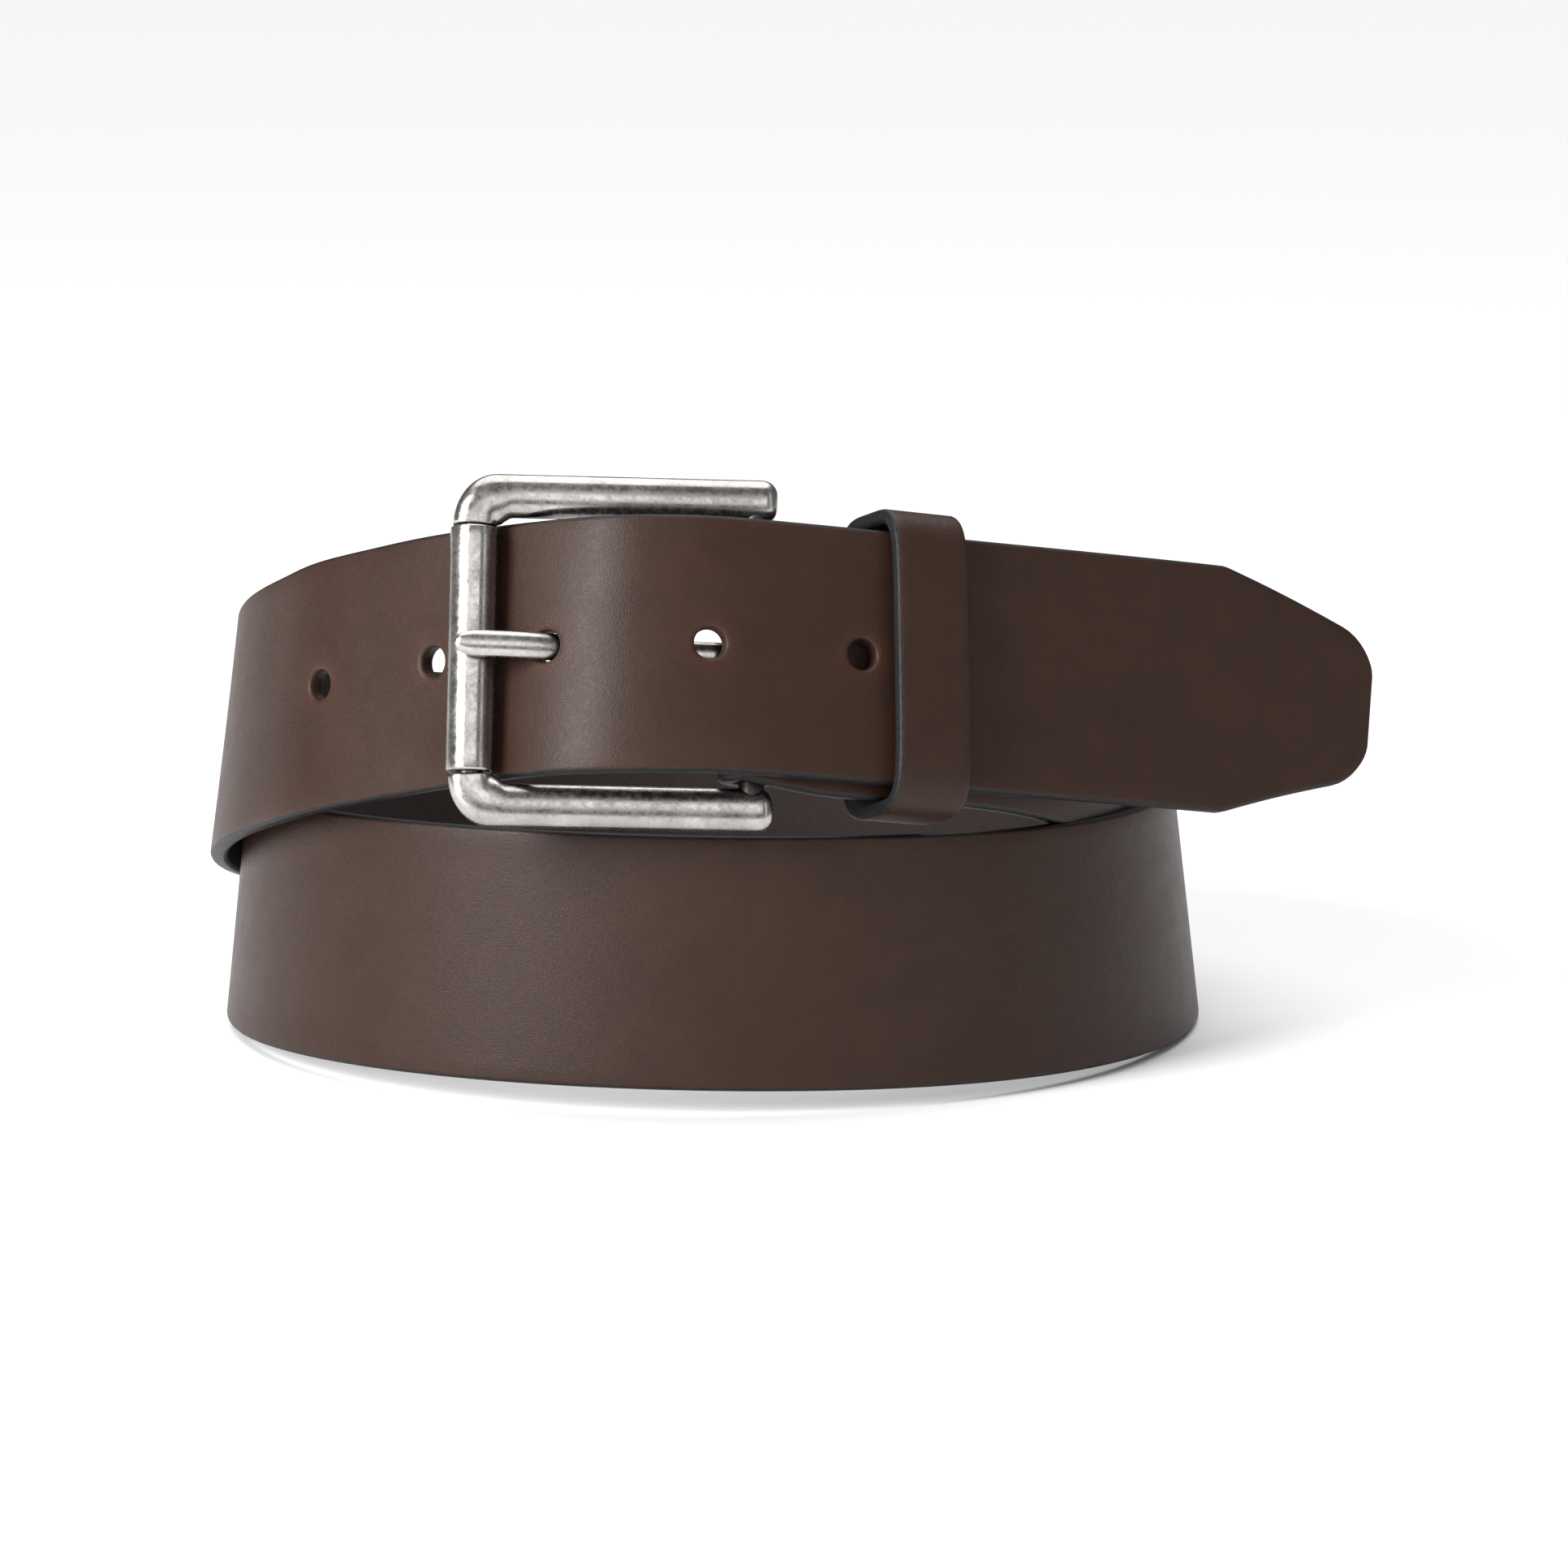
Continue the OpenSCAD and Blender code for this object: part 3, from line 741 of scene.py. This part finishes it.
# The strap and the tail meet out of sight, inside the keeper.
SEAM = KEEPER_AT

strap = leather_strip("strap_leather_body", 0.0, SEAM, strap_leather, [(0.0, 1)])
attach(strap, "strap_body")
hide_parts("strap")

tail = leather_strip("tail_leather", SEAM, path.length, strap_leather, [(path.length, -1)])
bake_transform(tail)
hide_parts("tail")


# ---------------------------------------------------------------- keeper

KEEPER_W = 13.0
KEEPER_T = 2.3
# Half sizes of the opening, and how far its middle stands behind and below the strap's middle.
KEEPER_HALF_H = 21.8
KEEPER_HALF_D = 7.4
KEEPER_MIDDLE = 4.65
KEEPER_DROP = 0.2
KEEPER_POWER = 6.0
KEEPER_STEPS = 160
# Columns across the keeper's face, which stops this far from its edges.
KEEPER_COLUMNS = 7
KEEPER_FACE_INSET = 2
# Points round an oval before they are spaced evenly.
FINE_STEPS = 7200


def superellipse(half_a, half_b, power, count):
    """A squarish oval: points (a, b), counter-clockwise."""
    turn = np.linspace(0, 2 * math.pi, count, endpoint=False)
    c, s = np.cos(turn), np.sin(turn)
    a = half_a * np.sign(c) * np.abs(c) ** (2 / power)
    b = half_b * np.sign(s) * np.abs(s) ** (2 / power)
    return np.stack([a, b], axis=1)


def even_loop(half_a, half_b, power, count):
    """The same oval with evenly spaced points, and the way outward at each."""
    rough = superellipse(half_a, half_b, power, FINE_STEPS)
    closed = np.concatenate([rough, rough[:1]])
    run = np.concatenate([[0], np.cumsum(np.linalg.norm(np.diff(closed, axis=0), axis=1))])
    places = np.linspace(0, run[-1], count, endpoint=False)
    loop = np.stack([np.interp(places, run, closed[:, k]) for k in (0, 1)], axis=1)
    ahead = np.roll(loop, -1, axis=0) - np.roll(loop, 1, axis=0)
    return loop, unit(np.stack([ahead[:, 1], -ahead[:, 0]], axis=1))


def keeper_profile():
    """The loop's section: (place across its width, 1 outside or -1 inside, distance from the edge)."""
    half = KEEPER_W / 2
    outside = [(-half + d, 1, d) for d in EDGE_STEPS]
    for u in np.linspace(-half + KEEPER_FACE_INSET, half - KEEPER_FACE_INSET, KEEPER_COLUMNS):
        outside.append((u, 1, half - abs(u)))
    outside += [(half - d, 1, d) for d in reversed(EDGE_STEPS)]
    return outside + [(u, -1, d) for u, _, d in reversed(outside)]


def keeper_piece():
    """The squarish leather loop round all the layers of the strap."""
    point, along, across, facing = (v[0] for v in path.axes(np.array([KEEPER_AT])))
    middle = point - facing * KEEPER_MIDDLE - across * KEEPER_DROP
    loop, normals = even_loop(KEEPER_HALF_D, KEEPER_HALF_H, KEEPER_POWER, KEEPER_STEPS)
    lengths = np.concatenate([[0], np.cumsum(np.linalg.norm(np.diff(loop, axis=0), axis=1))])
    profile = keeper_profile()
    points = []
    flat = []
    rim = []
    for (x, y), normal, length in zip(loop, normals, lengths):
        for u, side, d in profile:
            lift = KEEPER_T / 2 + side * (KEEPER_T / 2 - float(edge_drop(d)))
            px, py = x + normal[0] * lift, y + normal[1] * lift
            points.append(middle + along * u - facing * px + across * py)
            flat.append((length, u, side * STRAP_T / 2))
            rim.append(d)
    faces = skin_faces(len(loop), len(profile), closed=True)
    return make_piece("keeper_loop", points, faces, keeper_leather, flat=np.array(flat) * MM, rim=rim)


keeper = keeper_piece()
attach(keeper, "keeper_body")
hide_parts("keeper")

# ---------------------------------------------------------------- buckle

# Lengths along the buckle run from the heel bar toward the roller as negative x; z runs along the bars.
ARM_GAP = 41.7
ARM_H = 6.8
FRAME_T = 4.8
BAR_SPACING = 43.7
BAR_RADIUS = 2.0
ARM_PAST_BAR = 3.4
ROLLER_RADIUS = 3.7
SQUARENESS = 2.5
# The pads that swell from the arms to the roller's ends.
PAD_H = 1.3
PAD_BLEND = 2.4
# The arm's blunt end: its rounding, how much faster its thickness shrinks, and where the even part starts.
ARM_END_RADIUS = 2.4
ARM_END_THINNING = 1.1
ARM_END_LENGTH = 4
ARM_STATIONS = 60
CORNER_STATIONS = 18
SECTION_POINTS = 40
# The corner starts this far past the roller's inner side.
CORNER_PAST_ROLLER = 0.2
# Room between the roller's ends and the pads, and between its bore and the bar inside it.
ROLLER_END_GAP = 0.4
ROLLER_GAP = 0.08
# Tubes: the rounding of their edges, and steps round them, along them and in each rounding.
TUBE_EDGE = 0.35
TUBE_STEPS = 96
TUBE_ROWS = 24
TUBE_EDGE_STEPS = 4
TUBE_END_RECESS = 0.1
# The bar inside the roller ends in the pads, this far short of the arms' inner sides.
FRONT_BAR_SHORTER = 0.2
FRONT_BAR_BORE = 0.4
# Openings of the seams, in degrees.
FRONT_BAR_SEAM = 0.2
ROLLER_SEAM = 3.0


def in_buckle(points):
    """Moves points from the buckle's own axes to their place on the belt."""
    return BUCKLE_AT + np.asarray(points) @ BUCKLE_AXES.T


def smooth_step(share):
    share = np.clip(share, 0, 1)
    return share * share * (3 - 2 * share)


def sweep(name, stations):
    """Skins superellipse sections: (centre, way of a, way of b, half size a, half size b, power) each."""
    points = []
    for centre, a_axis, b_axis, half_a, half_b, power in stations:
        for a, b in superellipse(half_a, half_b, power, SECTION_POINTS):
            points.append(np.array(centre) + np.array(a_axis) * a + np.array(b_axis) * b)
    return make_piece(name, in_buckle(points), skin_faces(len(stations), SECTION_POINTS), aged_nickel)


def rounded_end(length, radius, steps=8):
    """(distance from the end, share of full size) pairs for a softly rounded end."""
    pairs = []
    for k in range(steps + 1):
        turn = math.pi / 2 * k / steps
        back = radius * (1 - math.cos(turn))
        share = 1 - radius / length * (1 - math.sin(turn))
        pairs.append((back, share))
    return pairs


def between(inner, outer, thick):
    """A station of the frame from its inner and outer points, as (x, z)."""
    inner, outer = np.array(inner), np.array(outer)
    middle = (inner + outer) / 2
    way = unit(outer - inner)
    half = np.linalg.norm(outer - inner) / 2
    return (middle[0], 0, middle[1]), (way[0], 0, way[1]), (0, 1, 0), half, thick, SQUARENESS


def frame_arm(name, sign):
    """One arm: blunt and rounded at its free end, then a corner that ends in the roller's pad."""
    inside = ARM_GAP / 2
    outside = inside + ARM_H
    pad = inside - PAD_H
    corner_x = ROLLER_RADIUS - BAR_SPACING - CORNER_PAST_ROLLER
    half_t = FRAME_T / 2
    stations = []
    for back, share in rounded_end(ARM_H / 2, ARM_END_RADIUS):
        cut = ARM_H / 2 * (1 - share)
        x = ARM_PAST_BAR - back
        thick = half_t * (1 - (1 - share) * ARM_END_THINNING)
        stations.append(between((x, inside + cut), (x, outside - cut), thick))
    for x in np.linspace(ARM_PAST_BAR - ARM_END_LENGTH, corner_x, ARM_STATIONS):
        swell = PAD_H * float(smooth_step((corner_x + PAD_BLEND - x) / PAD_BLEND))
        stations.append(between((x, inside - swell), (x, outside), half_t))
    for k in range(1, CORNER_STATIONS + 1):
        turn = math.pi / 2 * k / CORNER_STATIONS
        outer = (corner_x - math.sin(turn) * ARM_H, pad + math.cos(turn) * (outside - pad))
        stations.append(between((corner_x, pad), outer, half_t))
    mirror = np.array([1, 1, sign])
    turned = []
    for centre, a_axis, *rest in stations:
        turned.append((np.array(centre) * mirror, np.array(a_axis) * mirror, *rest))
    return sweep(name, turned)


def tube_section(half_length, outer, inner):
    """Half of a tube's lengthwise cut, as (radius, height) round its edge."""
    edge = min(TUBE_EDGE, (outer - inner) / 2)
    turns = [math.pi / 2 * k / TUBE_EDGE_STEPS for k in range(TUBE_EDGE_STEPS + 1)]
    corner = [(outer - edge * (1 - math.sin(t)), half_length - edge * (1 - math.cos(t))) for t in turns]
    side = [(outer, z) for z in np.linspace(half_length - edge, -half_length + edge, TUBE_ROWS)]
    bore = half_length - TUBE_END_RECESS
    return corner + side[1:-1] + [(r, -z) for r, z in reversed(corner)] + [(inner, -bore), (inner, bore)]


def tube(name, half_length, outer, inner, seam_degrees):
    """A tube round the front bar, rolled from sheet, with an open lengthwise seam facing -x."""
    section = tube_section(half_length, outer, inner)
    half_gap = math.radians(seam_degrees / 2)
    points = []
    for turn in np.linspace(math.pi + half_gap, 3 * math.pi - half_gap, TUBE_STEPS):
        points += [(r * math.cos(turn) - BAR_SPACING, r * math.sin(turn), z) for r, z in section]
    return make_piece(name, in_buckle(points), skin_faces(TUBE_STEPS, len(section)), aged_nickel)


PRONG_W = 4.2
PRONG_T = 2.4
# How squarish the prong's section is, and the length over which its tip rounds off.
PRONG_POWER = 2.2
PRONG_TIP = 3.6
# The prong's middle line from its ring to its tip, as (x, y).
PRONG_LINE = (
    (-6.0, -2.9), (-14.0, -2.8), (-22.0, -2.7), (-26.5, -3.1), (-29.0, -3.7), (-31.0, -4.3),
    (-33.5, -4.95), (-36.0, -5.4), (-39.0, -5.5), (-43.0, -5.3), (-46.4, -5.2),
)
# The prong leans a little along the bars, and its tip is off their middle by this much.
PRONG_TURN = 1.2
PRONG_SHIFT = 0.3
# The ring round the heel bar: half thickness, room round the bar, and the turn it makes.
RING_HALF_T = 0.72
RING_GAP = 0.1
RING_DEGREES = range(-60, 236, 10)
PRONG_STATIONS = 160
SMOOTHINGS = 10
# What is left of the width and of the thickness at the very tip.
TIP_WIDTH_SHARE = 0.12
TIP_THICK_SHARE = 0.5
TIP_LEAST = 0.003


def prong_line():
    """Evenly spaced points (x, y) on the prong's middle line, their lengths and half thicknesses."""
    ring = BAR_RADIUS + RING_GAP + RING_HALF_T
    turns = [math.radians(degrees) for degrees in RING_DEGREES]
    line = [(ring * math.cos(turn), ring * math.sin(turn), RING_HALF_T) for turn in turns]
    line += [(x, y, PRONG_T / 2) for x, y in PRONG_LINE]
    line = np.array(line)
    lengths = np.concatenate([[0], np.cumsum(np.linalg.norm(np.diff(line[:, :2], axis=0), axis=1))])
    even = np.linspace(0, lengths[-1], PRONG_STATIONS)
    smooth = np.stack([np.interp(even, lengths, line[:, k]) for k in (0, 1)], axis=1)
    for _ in range(SMOOTHINGS):
        smooth[1:-1] = (smooth[:-2] + 2 * smooth[1:-1] + smooth[2:]) / 4
    return smooth, even, np.interp(even, lengths, line[:, 2])


def prong_piece():
    """A bar bent round the heel bar, which dives through the strap and rests its tip on the roller."""
    points, lengths, half_thicks = prong_line()
    ways = unit(np.gradient(points, axis=0))
    lean = math.tan(math.radians(PRONG_TURN))
    stations = []
    for point, way, thick, length in zip(points, ways, half_thicks, lengths):
        left = lengths[-1] - length
        share = math.sqrt(max(1 - max(1 - left / PRONG_TIP, 0) ** 2, TIP_LEAST))
        aside = (PRONG_LINE[-1][0] - point[0]) * lean + PRONG_SHIFT
        width = PRONG_W / 2 * (TIP_WIDTH_SHARE + (1 - TIP_WIDTH_SHARE) * share)
        thick *= TIP_THICK_SHARE + (1 - TIP_THICK_SHARE) * share
        centre = (point[0], point[1], aside)
        stations.append((centre, (0, 0, 1), (way[1], -way[0], 0), width, thick, PRONG_POWER))
    return sweep("prong_bar", stations)


def buckle_piece(piece, body):
    """Gives a piece of the buckle its body."""
    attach(piece, body)
    return piece


upper_arm = buckle_piece(frame_arm("frame_upper_arm", 1), "frame_body")
buckle_piece(frame_arm("frame_lower_arm", -1), "frame_body")
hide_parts("buckle_frame")
front_bar_half = ARM_GAP / 2 - FRONT_BAR_SHORTER
front_bar = tube("frame_front_bar", front_bar_half, BAR_RADIUS, FRONT_BAR_BORE, FRONT_BAR_SEAM)
buckle_piece(front_bar, "frame_body")

roller_half = ARM_GAP / 2 - PAD_H - ROLLER_END_GAP
roller = tube("roller_tube", roller_half, ROLLER_RADIUS, BAR_RADIUS + ROLLER_GAP, ROLLER_SEAM)
buckle_piece(roller, "roller_body")
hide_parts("roller")

prong = buckle_piece(prong_piece(), "prong_body")
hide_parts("prong")

# The hidden fittings are shown by their CAD meshes, in steel darkened nearly to black as painted shade for
# the inside of the fold and the keeper.
for name in ("heel_bar", "fold_posts", "fold_screws", "keeper_staples"):
    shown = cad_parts[name]
    shown.data.materials.clear()
    shown.data.materials.append(bar_steel)

# ---------------------------------------------------------------- stage and light

FLOOR_GREY = 0.85
FLOOR_HALF = 14.0
WORLD_STRENGTH = 0.18
SUN_STRENGTH = 3.0
SUN_SPREAD = 70
SUN_TILT = -12
# Name, place, point aimed at, width and height, watts.
AREA_LIGHTS = (
    ("key", (-850, -750, 560), (0, 0, 40), (500, 700), 24),
    ("front", (100, -1050, 520), (0, 0, 50), (1100, 260), 1.9),
    ("fill", (900, -600, 400), (0, 0, 40), (200, 700), 0.5),
)


def make_floor():
    corners = [(-1, -1), (1, -1), (1, 1), (-1, 1)]
    points = [(x * FLOOR_HALF / MM, y * FLOOR_HALF / MM, 0) for x, y in corners]
    floor = make_piece("floor", points, [[0, 1, 2, 3]], stage_material("floor", FLOOR_GREY), smooth=False)


def make_light(name, place_mm, aim_mm, size_mm, watts):
    data = bpy.data.lights.new(name, "AREA")
    data.shape = "RECTANGLE"
    data.size = size_mm[0] * MM
    data.size_y = size_mm[1] * MM
    data.energy = watts
    light = bpy.data.objects.new(name, data)
    light.location = Vector(place_mm) * MM
    toward = Vector(aim_mm) * MM - light.location
    light.rotation_euler = toward.to_track_quat("-Z", "Y").to_euler()
    bpy.context.scene.collection.objects.link(light)


def make_overhead_light():
    """A very large soft light high above, a little behind the belt."""
    data = bpy.data.lights.new("overhead", "SUN")
    data.energy = SUN_STRENGTH
    data.angle = math.radians(SUN_SPREAD)
    light = bpy.data.objects.new("overhead", data)
    light.rotation_euler = (math.radians(SUN_TILT), 0, 0)
    bpy.context.scene.collection.objects.link(light)


def make_world():
    """Even white light from all round, for the metal to reflect."""
    world = bpy.data.worlds.new("world")
    world.use_nodes = True
    background = world.node_tree.nodes["Background"]
    background.inputs["Color"].default_value = rgb(1, 1, 1)
    background.inputs["Strength"].default_value = WORLD_STRENGTH
    bpy.context.scene.world = world


make_floor()
make_world()
make_overhead_light()
for area_light in AREA_LIGHTS:
    make_light(*area_light)
bpy.context.scene.view_settings.view_transform = "Standard"
